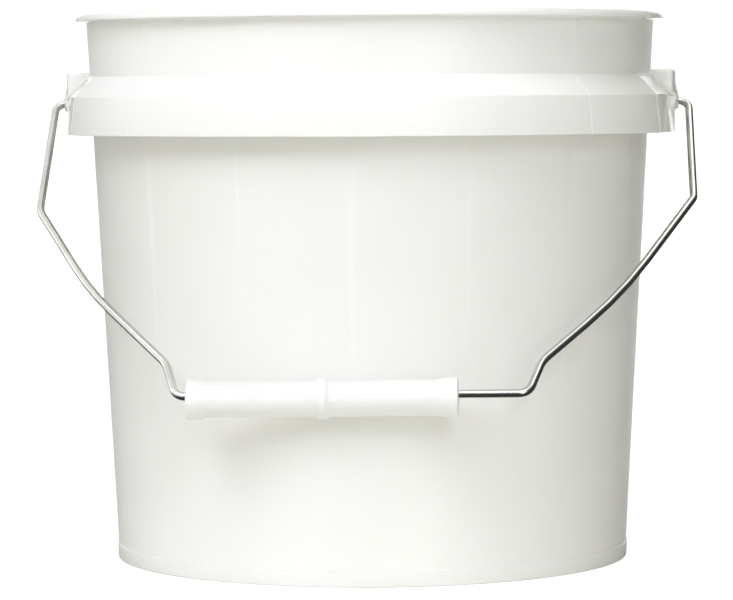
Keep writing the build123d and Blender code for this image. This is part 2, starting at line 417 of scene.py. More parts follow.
@dataclass(frozen=True)
class MouldedPolyethylene:
    """Injection moulded white polyethylene.

    It gives the eye a milky white with a soft gloss: light goes a little way in and comes out
    beside the place, so edges stay bright, and the mould's polish leaves a faint haze and waves.
    """

    name: str
    colour: str
    shade: str
    roughness: float
    grain: float = 0.35
    wave: float = 38.0
    polish_turn: float = 0.0
    polish_from: float = 0.0
    polish: float = 0.14

    def polished(self, nodes: Nodes, where: bpy.types.NodeSocket) -> bpy.types.NodeSocket:
        """Where the side cores of the mould left a brighter polish: 1 there, and 0 elsewhere.

        Args:
            nodes: The material.
            where: Object coordinates, in metres.

        Returns:
            The socket with the share of polish.
        """
        axes = nodes.add("SeparateXYZ", Vector=where).outputs
        flat = nodes.add("CombineXYZ", X=axes["X"], Y=axes["Y"]).outputs["Vector"]
        out = nodes.add("VectorMath", {"operation": "LENGTH"}, in0=flat).outputs["Value"]
        side = nodes.add("Math", {"operation": "ABSOLUTE"}, in0=axes["Y"]).outputs["Value"]
        sine = nodes.add("Math", {"operation": "DIVIDE"}, in0=side, in1=out).outputs["Value"]
        near = nodes.add("Math", {"operation": "LESS_THAN"}, in0=sine,
                         in1=math.sin(math.radians(self.polish_turn))).outputs["Value"]
        far = nodes.add("Math", {"operation": "GREATER_THAN"}, in0=out,
                        in1=self.polish_from * MM).outputs["Value"]
        return nodes.add("Math", {"operation": "MULTIPLY"}, in0=near, in1=far).outputs["Value"]

    def material(self) -> bpy.types.Material:
        """Builds the material."""
        nodes = Nodes(self.name)
        where = nodes.add("TexCoord").outputs["Object"]
        haze = nodes.add("TexNoise", Vector=where, Scale=1 / (self.wave * MM), Detail=3.0)
        tint = nodes.add("Mix", {"data_type": "RGBA"}, Factor=haze.outputs["Fac"],
                         in6=linear(self.colour), in7=linear(self.shade))
        fine = nodes.add("TexNoise", Vector=where, Scale=1 / (self.grain * MM), Detail=2.0)
        bump = nodes.add("Bump", Height=fine.outputs["Fac"], Strength=0.08, Distance=0.02 * MM)
        gloss = nodes.add("MapRange", Value=haze.outputs["Fac"], To_Min=self.roughness - 0.04,
                          To_Max=self.roughness + 0.05)
        rough = gloss.outputs["Result"]
        if self.polish_turn:
            rough = nodes.add("Mix", in0=self.polished(nodes, where), in2=rough,
                              in3=self.polish).outputs[0]
        nodes.feed("Base Color", tint.outputs[2])
        nodes.feed("Roughness", rough)
        nodes.feed("Normal", bump.outputs["Normal"])
        nodes.feed("IOR", 1.52)
        nodes.feed("Subsurface Weight", 0.25)
        nodes.feed("Subsurface Radius", (1.0, 0.95, 0.85))
        nodes.feed("Subsurface Scale", 1.2 * MM)
        return nodes.material


@dataclass(frozen=True)
class DrawnZincWire:
    """Cold drawn steel wire with a bright zinc plating.

    It gives the eye a smooth metal with bright and dark bands along it, and the fine lengthwise
    marks of the die: they are 0.3 mm apart here, so that they still show in the render.
    """

    name: str
    colour: str
    shade: str
    roughness: float
    mark: float = 0.3
    mark_length: float = 30.0
    cloud: float = 9.0

    def material(self) -> bpy.types.Material:
        """Builds the material."""
        nodes = Nodes(self.name)
        where = nodes.add("TexCoord").outputs["Object"]
        way = nodes.add("Attribute", {"attribute_name": WIRE_WAY}).outputs["Vector"]
        stretched = nodes.add("Mapping", Vector=way, Scale=(1, 1, self.mark / self.mark_length))
        marks = nodes.add("TexNoise", Vector=stretched.outputs["Vector"], Scale=1 / (self.mark * MM),
                          Detail=2.0)
        cloud = nodes.add("TexNoise", Vector=where, Scale=1 / (self.cloud * MM), Detail=4.0)
        mixed = nodes.add("Mix", in0=0.55, in2=cloud.outputs["Fac"], in3=marks.outputs["Fac"])
        lift = nodes.add("MapRange", Value=mixed.outputs[0], From_Min=0.3, From_Max=0.7)
        tint = nodes.add("Mix", {"data_type": "RGBA"}, Factor=lift.outputs["Result"],
                         in6=linear(self.colour), in7=linear(self.shade))
        gloss = nodes.add("MapRange", Value=lift.outputs["Result"], To_Min=self.roughness - 0.05,
                          To_Max=self.roughness + 0.08)
        bump = nodes.add("Bump", Height=marks.outputs["Fac"], Strength=0.25, Distance=0.01 * MM)
        nodes.feed("Base Color", tint.outputs[2])
        nodes.feed("Roughness", gloss.outputs["Result"])
        nodes.feed("Normal", bump.outputs["Normal"])
        nodes.feed("Metallic", 1.0)
        return nodes.material


@dataclass(frozen=True)
class PaperSweep:
    """Matt paper, overexposed as on a light table, which gives the eye an even white ground.

    The glow is for the eye alone. What the paper sends back to the pail is its own warm white.
    It is weaker near the pail, where the lamps light the paper, and full farther off, in metres.
    """

    name: str
    colour: str
    shade: str
    glow: float
    far_glow: float = 1.1
    near: float = 0.3
    far: float = 1.4
    fibre: float = 2.0

    def material(self) -> bpy.types.Material:
        """Builds the material."""
        nodes = Nodes(self.name)
        where = nodes.add("TexCoord").outputs["Object"]
        fibre = nodes.add("TexNoise", Vector=where, Scale=1 / (self.fibre * MM), Detail=2.0)
        tint = nodes.add("Mix", {"data_type": "RGBA"}, Factor=fibre.outputs["Fac"],
                         in6=linear(self.colour), in7=linear(self.shade))
        away = nodes.add("VectorMath", {"operation": "LENGTH"}, in0=where).outputs["Value"]
        reach = nodes.add("MapRange", Value=away, From_Min=self.near, From_Max=self.far,
                          To_Min=self.glow, To_Max=self.far_glow).outputs["Result"]
        seen = nodes.add("LightPath").outputs["Is Camera Ray"]
        glow = nodes.add("MapRange", Value=seen, To_Max=reach)
        nodes.feed("Base Color", tint.outputs[2])
        nodes.feed("Roughness", 0.9)
        nodes.feed("Emission Color", (1.0, 1.0, 1.0, 1.0))
        nodes.feed("Emission Strength", glow.outputs["Result"])
        return nodes.material


@dataclass
class Pail:
    """The moulded pail: wall, floor, foot, lip, hollow skirt and both ears, in mm."""

    height: float = 190.0
    base_radius: float = 89.2
    draft: float = 3.05
    wall: float = 1.7
    floor: float = 2.0
    floor_lift: float = 3.5
    floor_corner: float = 4.0
    foot_height: float = 5.4
    foot_proud: float = 0.4
    gate_radius: float = 3.2
    gate_tip: float = 1.9
    gate_depth: float = 1.4
    lip_reach: float = 4.0
    lip_height: float = 2.6
    neck_height: float = 19.0
    shoulder_drop: float = 7.0
    band_height: float = 13.0
    shoulder_reach: float = 7.15
    band_flare: float = 1.4
    skirt_wall: float = 1.5
    rib: float = 1.2
    rib_lift: float = 1.6
    rib_bite: float = 0.6
    ribs_per_side: int = 7
    rib_start: float = 20.0
    pivot_drop: float = 2.15
    ear_proud: float = 2.1
    ear_rise: float = 8.7
    ear_half: float = 8.8
    ear_arch: float = 26.0
    ear_arch_steps: int = 16
    ear_flare: float = 2.2
    ear_wall: float = 1.7
    ear_foot: float = 0.3
    chin_drop: float = 7.6
    chin_taper: float = 1.82
    keel_half: float = 2.8
    keel_inset: float = 0.15
    keel_proud: float = 0.25
    ramp_top_drop: float = 2.0
    ramp_top_out: float = 1.6
    ramp_spread: float = 6.7
    ramp_drop: float = 4.2
    ramp_sink: float = 2.0
    ramp_foot: float = 0.5
    ramp_bite: float = 0.1
    boss_height: float = 0.9
    boss_depth: float = 1.8
    boss_tip: float = 1.05
    boss_root: float = 5.45
    boss_rise: float = 3.3
    hole_radius: float = 1.55
    ear_round: float = 0.95
    pad_turn: float = 36.0
    pad_proud: float = 0.12
    pad_lift: float = 0.15
    pad_sink: float = 0.2
    pad_start: float = 0.52
    skin_bite: float = 0.6
    seam_turns: tuple[float, ...] = (-136.0, -42.6, 42.6, 136.0)
    seam_width: float = 0.25
    seam_proud: float = 0.08
    seam_step: float = 0.1
    seam_lift: float = 0.2
    seam_top: float = 1.7
    bead_size: float = 0.5
    bead_thin: float = 0.2
    bead_sink: float = 0.1
    bead_root: float = 0.7
    facets: int = 240

    def wall_radius(self, height: float) -> float:
        """Outer radius of the drafted wall at a height."""
        return self.base_radius + height * math.tan(math.radians(self.draft))

    def band_radius(self, height: float) -> float:
        """Outer radius of the skirt's band at a height."""
        below = (self.shoulder - height) / self.band_height
        return self.wall_radius(self.shoulder) + self.shoulder_reach + self.band_flare * below

    @property
    def lip_under(self) -> float:
        """Height of the lip's underside."""
        return self.height - self.lip_height

    @property
    def skirt_top(self) -> float:
        """Height at which the neck meets the skirt's cone."""
        return self.lip_under - self.neck_height

    @property
    def shoulder(self) -> float:
        """Height of the skirt's outer edge."""
        return self.skirt_top - self.shoulder_drop

    @property
    def skirt_bottom(self) -> float:
        """Height of the skirt's lower edge."""
        return self.shoulder - self.band_height

    @property
    def cone_run(self) -> float:
        """How far out the skirt's cone runs from the neck to the shoulder."""
        return self.band_radius(self.shoulder) - self.wall_radius(self.skirt_top)

    @property
    def hollow_top(self) -> float:
        """Height at which the skirt's hollow ends at the wall."""
        drop = self.skirt_wall * math.hypot(self.shoulder_drop, self.cone_run) / self.cone_run
        return self.skirt_top - drop

    @property
    def hollow_out(self) -> float:
        """Height of the hollow's outer corner, under the shoulder."""
        drop = self.skirt_wall * math.hypot(self.shoulder_drop, self.cone_run) / self.cone_run
        return self.shoulder - drop + self.skirt_wall * self.shoulder_drop / self.cone_run

    @property
    def ramp_end(self) -> float:
        """How far out the far end of an ear's ramp meets the neck."""
        far = self.ear_half + self.ramp_spread
        return math.sqrt(self.wall_radius(self.skirt_top) ** 2 - far ** 2)

    @property
    def pivot(self) -> float:
        """Height of the wire's pivot."""
        return self.shoulder - self.pivot_drop

    @property
    def ear_top(self) -> float:
        """Height of the ears' top."""
        return self.shoulder + self.ear_rise

    @property
    def ear_low(self) -> float:
        """Height of the ledge between an ear's block and its chin."""
        return self.shoulder - self.ear_foot

    @property
    def ear_face(self) -> float:
        """How far out the middle of an ear's arched face stands."""
        return self.wall_radius(self.shoulder) + self.shoulder_reach + self.ear_proud

    def outline(self) -> list[Vector]:
        """The pail's whole section, from the middle of the floor round to the middle beneath."""
        floor_top = self.floor_lift + self.floor
        lip_out = self.wall_radius(self.lip_under) + self.lip_reach
        foot_top = self.wall_radius(self.foot_height)
        foot_in = self.base_radius - self.wall
        return rounded_outline([
            Corner(0, floor_top),
            Corner(self.wall_radius(floor_top) - self.wall, floor_top, self.floor_corner, 8),
            Corner(self.wall_radius(self.height) - self.wall, self.height, 0.75, 5),
            Corner(lip_out, self.height, 1.9, 8),
            Corner(lip_out, self.lip_under, 0.35, 3),
            Corner(self.wall_radius(self.lip_under), self.lip_under, 0.9, 5),
            Corner(self.wall_radius(self.skirt_top), self.skirt_top, 0.5, 3),
            Corner(self.band_radius(self.shoulder), self.shoulder, 0.5, 4),
            Corner(self.band_radius(self.skirt_bottom), self.skirt_bottom, 0.25, 3),
            Corner(self.band_radius(self.skirt_bottom) - self.skirt_wall, self.skirt_bottom, 0.2, 2),
            Corner(self.band_radius(self.shoulder) - self.skirt_wall, self.hollow_out, 0.6, 3),
            Corner(self.wall_radius(self.hollow_top), self.hollow_top, 0.5, 3),
            Corner(foot_top, self.foot_height, 0.3, 3),
            Corner(foot_top + self.foot_proud, self.foot_height, 0.15, 3),
            Corner(self.base_radius + self.foot_proud, 0, 0.6, 5),
            Corner(foot_in, 0, 0.4, 3),
            Corner(foot_in, self.floor_lift, 0.8, 4),
            Corner(self.gate_radius, self.floor_lift, 0.3, 3),
            Corner(self.gate_tip, self.floor_lift - self.gate_depth, 0.3, 3),
            Corner(0, self.floor_lift - self.gate_depth),
        ])

    def ear_block(self) -> bpy.types.Object:
        """The upper block of the +X ear, arched in plan and flared at its root."""
        inside = self.wall_radius(self.ear_low) - self.rib_bite
        centre = self.ear_face - self.ear_arch
        plan = []
        reach = math.asin(self.ear_half / self.ear_arch)
        for step in range(self.ear_arch_steps + 1):
            swing = reach * (2 * step / self.ear_arch_steps - 1)
            plan.append((centre + self.ear_arch * math.cos(swing), self.ear_arch * math.sin(swing)))
        root_out = self.wall_radius(self.skirt_top) + self.ramp_top_out
        flare = self.ear_flare
        plan = [(inside, -self.ear_half - flare), (root_out - flare, -self.ear_half - flare),
                (root_out, -self.ear_half)] + plan
        plan += [(root_out, self.ear_half), (root_out - flare, self.ear_half + flare),
                 (inside, self.ear_half + flare)]
        points = [Vector((x, y, self.ear_low)) for x, y in plan]
        block = plate("ear_block", points, Vector((0, 0, self.ear_top - self.ear_low)))
        top = self.ear_top * MM

        def is_rounded(middle: Vector, edge: bmesh.types.BMEdge) -> bool:
            """Whether an edge is on the block's top rim or is one of its two outer corners."""
            if abs(middle.z - top) < WELD:
                return middle.x > root_out * MM - WELD
            upright = abs(edge.verts[0].co.z - edge.verts[1].co.z) > WELD
            return upright and middle.x > (root_out + 1) * MM and edge.calc_face_angle(0) > 0.5

        bevel_edges(block, self.ear_round, 4, is_rounded)
        return block

    def ear_chin(self) -> bpy.types.Object:
        """The lower part of the +X ear, which slants back to the band."""
        inside = self.wall_radius(self.skirt_bottom) - self.rib_bite
        tip = self.ear_low - self.chin_drop
        side = [(inside, tip), (self.ear_face - self.chin_taper, tip),
                (self.ear_face, self.ear_low), (inside, self.ear_low)]
        points = [Vector((x, -self.ear_half, z)) for x, z in side]
        return plate("ear_chin", points, Vector((0, 2 * self.ear_half, 0)))

    def ear_keel(self) -> bpy.types.Object:
        """The narrow strip that runs down the band from the +X ear's boss."""
        inside = self.wall_radius(self.skirt_bottom) - self.rib_bite
        top = self.ear_low - 2 * self.boss_tip
        side = [(inside, self.skirt_bottom),
                (self.band_radius(self.skirt_bottom) + self.keel_proud, self.skirt_bottom),
                (self.ear_face - self.keel_inset, top), (inside, top)]
        points = [Vector((x, -self.keel_half, z)) for x, z in side]
        return plate("ear_keel", points, Vector((0, 2 * self.keel_half, 0)))

    def ear_bead(self) -> bpy.types.Object:
        """The narrow strip in the corner between a ramp and the block, thinner towards the hole."""
        top = Vector((self.wall_radius(self.skirt_top) + self.ramp_top_out, 0,
                      self.ear_top - self.ramp_top_drop))
        low = Vector((self.ear_face - self.ramp_bite, 0, self.ear_low))
        far_top = Vector((self.ramp_end, 0, self.skirt_top - self.ramp_sink))
        far_low = Vector((self.ramp_end + self.ramp_drop * self.cone_run / self.shoulder_drop, 0,
                          self.skirt_top - self.ramp_drop))
        share = (self.bead_size + self.rib_bite) / (self.ramp_spread + self.rib_bite)
        proud = Vector((top.z - low.z, 0, low.x - top.x)).normalized()
        near = Vector((0, self.ear_half - self.rib_bite / 2, 0))
        far = Vector((0, self.ear_half + self.bead_size, 0))
        near_ring = [top + proud * self.bead_size, low + proud * self.bead_size * self.bead_thin,
                     low - proud, top - proud]
        ends = [top.lerp(far_top, share), low.lerp(far_low, share)]
        far_ring = [end - proud * sink for sink in (self.bead_sink, self.bead_root) for end in ends]
        far_ring[2:] = reversed(far_ring[2:])
        return bridged("ear_bead", [point + near for point in near_ring],
                       [point + far for point in far_ring])

    def ear_ramp(self) -> bpy.types.Object:
        """The ramp on the +Y side of the +X ear, which runs out on the shoulder."""
        inside = self.wall_radius(self.skirt_top) - self.rib_bite
        near = self.ear_half - self.rib_bite
        far = self.ear_half + self.ramp_spread
        top_out = self.wall_radius(self.skirt_top) + self.ramp_top_out
        top = self.ear_top - self.ramp_top_drop
        far_top = self.ramp_end
        far_low = self.skirt_top - self.ramp_drop
        foot = self.ear_low - self.ramp_foot
        near_out = self.ear_face - self.ramp_bite
        foot_out = near_out - self.chin_taper * self.ramp_foot / self.chin_drop
        far_out = far_top + self.ramp_drop * self.cone_run / self.shoulder_drop
        near_ring = [(inside, top), (top_out, top), (near_out, self.ear_low), (foot_out, foot),
                     (inside, foot)]
        far_ring = [(far_top - self.rib_bite, self.skirt_top - self.ramp_sink),
                    (far_top, self.skirt_top - self.ramp_sink), (far_out, far_low),
                    (far_out, far_low - self.ramp_foot),
                    (far_top - self.rib_bite, far_low - self.ramp_foot)]
        ramp = bridged("ear_ramp", [Vector((x, near, z)) for x, z in near_ring],
                       [Vector((x, far, z)) for x, z in far_ring])
        combine(ramp, self.ear_bead(), Cut.ADD)
        return ramp

    def ear_boss(self) -> bpy.types.Object:
        """The slanted cone round the +X ear's hole."""
        deselect_all()
        tip_out = self.ear_face + self.boss_height
        bpy.ops.mesh.primitive_cone_add(
            vertices=48, radius1=(self.hole_radius + self.boss_root) * MM,
            radius2=(self.hole_radius + self.boss_tip) * MM, depth=self.boss_depth * MM,
            location=((tip_out - self.boss_depth / 2) * MM, 0, self.pivot * MM),
            rotation=(0, HALF_TURN / 2, 0))
        boss = bpy.context.object
        bpy.ops.object.transform_apply(location=True, rotation=True, scale=True)
        bpy.ops.object.mode_set(mode="EDIT")
        middle_out = (tip_out - self.boss_depth / 2) * MM
        select_where(boss, "VERT", lambda middle, vertex: middle.x < middle_out)
        bpy.ops.transform.translate(value=(0, 0, self.boss_rise * MM))
        clean_up(boss)
        return boss

    def ear_room(self) -> bpy.types.Object:
        """What is taken out of the +X ear: the pocket for the wire's hook, and the hole."""
        outside = self.band_radius(self.shoulder) - self.skirt_wall
        inside = self.wall_radius(self.ear_top)
        low = self.skirt_bottom - self.rib_lift
        high = self.ear_top - self.ear_wall
        deselect_all()
        bpy.ops.mesh.primitive_cube_add(size=MM, location=Vector((
            (inside + outside) / 2, 0, (low + high) / 2)) * MM)
        pocket = bpy.context.object
        pocket.scale = (outside - inside, 2 * (self.ear_half - self.ear_wall), high - low)
        bpy.ops.object.transform_apply(location=True, rotation=True, scale=True)
        length = 2 * (self.ear_face + self.boss_height - inside - self.skirt_wall)
        deselect_all()
        bpy.ops.mesh.primitive_cylinder_add(
            vertices=32, radius=self.hole_radius * MM, depth=length * MM,
            location=((self.ear_face + self.boss_height) * MM, 0, self.pivot * MM),
            rotation=(0, HALF_TURN / 2, 0))
        hole = bpy.context.object
        bpy.ops.object.transform_apply(location=True, rotation=True, scale=True)
        combine(pocket, hole, Cut.ADD)
        return pocket

    def webs(self) -> bpy.types.Object:
        """The radial webs inside the skirt, in one object."""
        low = self.skirt_bottom + self.rib_lift
        side = [(self.wall_radius(low) - self.rib_bite, low),
                (self.band_radius(low) - self.skirt_wall + self.rib_bite, low),
                (self.band_radius(self.shoulder) - self.skirt_wall + self.rib_bite, self.hollow_out),
                (self.wall_radius(self.hollow_top) - self.rib_bite, self.hollow_top + self.rib_bite)]
        points = [Vector((x, -self.rib / 2, z)) for x, z in side]
        web = plate("web", points, Vector((0, self.rib, 0)))
        step = (180 - 2 * self.rib_start) / (self.ribs_per_side - 1)
        ear_turn = math.degrees(math.asin(
            (self.ear_half + self.rib / 2) / self.band_radius(self.skirt_bottom)))
        turns = [self.rib_start + step * count for count in range(self.ribs_per_side)]
        turns += [ear_turn, 180 - ear_turn]
        copies = [copied(web, Matrix.Rotation(side_sign * math.radians(turn), 4, "Z"))
                  for turn in turns for side_sign in (1, -1)]
        bpy.data.objects.remove(web)
        return join("webs", copies)

    def pads(self) -> bpy.types.Object:
        """The slightly raised field of the side cores, which spans cone and band at both ears."""
        neck = self.wall_radius(self.skirt_top)
        upper, lower = self.band_radius(self.shoulder), self.band_radius(self.skirt_bottom)
        foot = self.skirt_bottom + self.pad_lift
        bite = self.skin_bite
        outline = [(neck - self.pad_sink, self.skirt_top + self.pad_start),
                   (upper + self.pad_proud, self.shoulder + self.pad_proud),
                   (lower + self.pad_proud, foot), (lower - bite, foot),
                   (upper - bite, self.shoulder - bite), (neck - bite, self.skirt_top - bite)]
        steps = round(self.pad_turn / 360 * self.facets)
        pad = sector("side_pad", [Vector(pair) for pair in outline], math.radians(self.pad_turn), steps)
        return join("side_pads", [pad, copied(pad, Matrix.Rotation(HALF_TURN, 4, "Z"))])

    def seams(self) -> bpy.types.Object:
        """The mould's four parting lines, which stand up as fine ridges from lip to band."""
        lip_out = self.wall_radius(self.lip_under) + self.lip_reach
        under, proud = self.wall_radius(self.lip_under), self.seam_proud
        neck = self.wall_radius(self.skirt_top)
        upper, lower = self.band_radius(self.shoulder), self.band_radius(self.skirt_bottom)
        foot, top = self.skirt_bottom + self.seam_lift, self.height - self.seam_top
        bite, step = self.skin_bite, self.seam_step
        side = [(lip_out + proud, top), (lip_out + proud, self.lip_under - step),
                (under + proud, self.lip_under - step), (neck + proud, self.skirt_top + step),
                (upper + proud, self.shoulder + step), (lower + proud, foot), (lower - bite, foot),
                (upper - bite, self.shoulder - bite), (neck - bite, self.skirt_top - bite),
                (under - bite, self.lip_under + bite), (lip_out - bite, self.lip_under + bite),
                (lip_out - bite, top)]
        points = [Vector((x, -self.seam_width / 2, z)) for x, z in side]
        seam = plate("seam", points, Vector((0, self.seam_width, 0)))
        copies = [copied(seam, Matrix.Rotation(math.radians(turn), 4, "Z"))
                  for turn in self.seam_turns]
        bpy.data.objects.remove(seam)
        return join("seams", copies)

    def build(self) -> bpy.types.Object:
        """Models the whole pail as one closed mesh."""
        body = turned("pail_body", self.outline(), self.facets)
        combine(body, self.pads(), Cut.ADD)
        combine(body, self.seams(), Cut.ADD)
        ear = self.ear_block()
        ramp = self.ear_ramp()
        for part in (self.ear_chin(), self.ear_keel(), mirrored(ramp), ramp, self.ear_boss()):
            combine(ear, part, Cut.ADD)
        turn_round = Matrix.Rotation(HALF_TURN, 4, "Z")
        ears = join("ears", [ear, copied(ear, turn_round)])
        room = self.ear_room()
        rooms = join("rooms", [room, copied(room, turn_round)])
        hollow = self.skirt_hollow()
        combine(ears, hollow, Cut.TAKE)
        combine(body, ears, Cut.ADD)
        combine(body, self.webs(), Cut.ADD)
        combine(body, rooms, Cut.TAKE)
        pick(body)
        bpy.ops.object.mode_set(mode="EDIT")
        bpy.ops.mesh.select_all(action="SELECT")
        clean_up(body)
        smooth(body, 28)
        return body

    def skirt_hollow(self) -> bpy.types.Object:
        """The room under the skirt as a ring, which is kept free of the ears' filled forms."""
        low = self.skirt_bottom - self.rib_lift
        inset = self.wall / 2
        ring = [Vector((self.wall_radius(low) - inset, low)),
                Vector((self.band_radius(low) - self.skirt_wall, low)),
                Vector((self.band_radius(self.shoulder) - self.skirt_wall, self.hollow_out)),
                Vector((self.wall_radius(self.hollow_top), self.hollow_top)),
                Vector((self.wall_radius(self.hollow_top) - inset, self.hollow_top))]
        return turned("skirt_hollow", ring + ring[:1], self.facets)

    def dress(self, piece: bpy.types.Object) -> None:
        """Gives the pail its finish and hands it to its body."""
        finish = MouldedPolyethylene(
            "white_polyethylene_pail", "#f6f6f4", "#f1f2ed", 0.36, polish_turn=self.pad_turn / 2,
            polish_from=self.wall_radius(self.height))
        piece.data.materials.clear()
        piece.data.materials.append(finish.material())
        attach(piece, "pail")
        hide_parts("pail")


@dataclass(frozen=True)
class Bend:
    """A corner of the wire's middle line in the bail's own plane, and the radius made there."""

    out: float
    down: float
    radius: float = 0.0

    def place(self) -> Vector:
        """The corner in mm, with the pivot at the origin."""
        return Vector((self.out, 0, -self.down))


@dataclass(frozen=True)
class WireHalf:
    """One half of the wire as it was bent: sizes in the bail's plane, down from the pivot, in mm."""

    leg_stand: float
    leg_lean: float
    leg_length: float
    knee_bend: float
    arm_out: float
    arm_length: float
    arm_bend: float
    neck_out: float
    neck_length: float
    neck_bend: float


@dataclass
class Bail:
    """The wire bail, drawn hanging straight down from its pivot and then tilted, in mm."""

    pail: Pail
    wire: float = 2.7
    hook_length: float = 6.4
    hook_seat: float = 2.1
    hook_bend: float = 2.8
    leg_bend: float = 4.2
    left: WireHalf = WireHalf(3.07, -0.11, 51.8, 9.0, 90.1, 89.7, 120.0, 61.7, 122.96, 11.0)
    right: WireHalf = WireHalf(3.47, -0.9, 49.4, 4.0, 87.4, 94.0, 170.0, 61.7, 123.4, 13.0)
    handle_out: float = 57.4
    reach: float = 137.4
    handle_bend: float = 4.6
    slope: float = 0.8
    tilt: float = 46.415863
    end_round: float = 0.35
    round_facets: int = 32
    step: float = 6.0

    def half_route(self, side: int) -> list[Bend]:
        """The wire's corners from one hooked end to the handle."""
        hook_out = self.pail.wall_radius(self.pail.pivot) + self.hook_seat + self.wire / 2
        half = self.left if side < 0 else self.right
        leg_out = self.pail.ear_face + self.pail.boss_height + half.leg_stand
        tip = side * math.tan(math.radians(self.slope))
        knee_out = leg_out - half.leg_lean
        return [
            Bend(side * hook_out, self.hook_length),
            Bend(side * hook_out, 0, self.hook_bend),
            Bend(side * leg_out, 0, self.leg_bend),
            Bend(side * knee_out, half.leg_length - tip * knee_out, half.knee_bend),
            Bend(side * half.arm_out, half.arm_length - tip * half.arm_out, half.arm_bend),
            Bend(side * half.neck_out, half.neck_length - tip * half.neck_out, half.neck_bend),
            Bend(side * self.handle_out, self.reach - tip * self.handle_out, self.handle_bend),
        ]

    def hang(self) -> Matrix:
        """Moves the bail from its own plane to its place at rest in the ears."""
        pivot = Matrix.Translation((0, 0, self.pail.pivot * MM))
        return pivot @ Matrix.Rotation(-math.radians(self.tilt), 4, "X")

    def build(self) -> bpy.types.Object:
        """Models the wire: a circle is extruded along each run and spun round each bend."""
        route = self.half_route(1) + self.half_route(-1)[::-1]
        places = [bend.place() * MM for bend in route]
        deselect_all()
        bpy.ops.mesh.primitive_circle_add(
            vertices=self.round_facets, radius=self.wire / 2 * MM, location=places[0])
        piece = bpy.context.object
        piece.name = "bail_wire"
        bpy.ops.object.transform_apply(location=True, rotation=True, scale=True)
        bpy.ops.object.mode_set(mode="EDIT")
        bpy.ops.mesh.select_mode(type="EDGE")
        bpy.ops.mesh.select_all(action="SELECT")
        here = places[0]
        for index in range(1, len(route) - 1):
            corner = places[index]
            towards = (corner - here).normalized()
            onward = (places[index + 1] - corner).normalized()
            turn = towards.angle(onward)
            radius = route[index].radius * MM
            cut = radius * math.tan(turn / 2)
            start = corner - towards * cut
            bpy.ops.mesh.extrude_region_move(TRANSFORM_OT_translate={"value": start - here})
            axis = towards.cross(onward).normalized()
            centre = start + axis.cross(towards) * radius
            steps = max(3, math.ceil(math.degrees(turn) / self.step))
            bpy.ops.mesh.spin(steps=steps, angle=-turn, center=centre, axis=axis)
            here = corner + onward * cut
        bpy.ops.mesh.extrude_region_move(TRANSFORM_OT_translate={"value": places[-1] - here})
        bpy.ops.mesh.select_all(action="SELECT")
        bpy.ops.mesh.remove_doubles(threshold=WELD)
        bpy.ops.mesh.select_all(action="SELECT")
        bpy.ops.mesh.fill_holes(sides=0)
        clean_up(piece)
        end = -self.hook_length * MM

        def is_end_rim(middle: Vector, edge: bmesh.types.BMEdge) -> bool:
            """Whether an edge lies on one of the wire's two ends."""
            return abs(middle.z - end) < WELD

        bevel_edges(piece, self.end_round, 3, is_end_rim)
        self.mark_way(piece, places)
        piece.data.transform(self.hang())
        smooth(piece, 40)
        return piece

    def mark_way(self, piece: bpy.types.Object, places: Sequence[Vector]) -> None:
        """Keeps for each vertex its place round the wire and along it, for the drawing marks.

        Args:
            piece: The wire, still upright in its own plane.
            places: The corners of its route, in metres.
        """
        runs, along = [], 0.0
        for start, end in zip(places, places[1:]):
            runs.append((start, (end - start).normalized(), (end - start).length, along))
            along += (end - start).length
        way = piece.data.attributes.new(WIRE_WAY, "FLOAT_VECTOR", "POINT")
        for vertex, mark in zip(piece.data.vertices, way.data):
            best = None
            for start, towards, length, before in runs:
                step = min(max((vertex.co - start).dot(towards), 0.0), length)
                off = vertex.co - start - towards * step
                if best is None or off.length < best[0]:
                    best = (off.length, off, towards, before + step)
            _, off, towards, length = best
            side = towards.cross(Vector((0, 1, 0)))
            turn = math.atan2(off.y, off.dot(side))
            mark.vector = (math.cos(turn) * self.wire / 2 * MM, math.sin(turn) * self.wire / 2 * MM, length)

    def dress(self, piece: bpy.types.Object) -> None:
        """Gives the wire its finish and hands it to its body."""
        finish = DrawnZincWire("zinc_plated_steel_wire", "#d3d5d2", "#a9aca8", 0.2)
        piece.data.materials.clear()
        piece.data.materials.append(finish.material())
        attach(piece, "bail")
        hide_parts("bail")


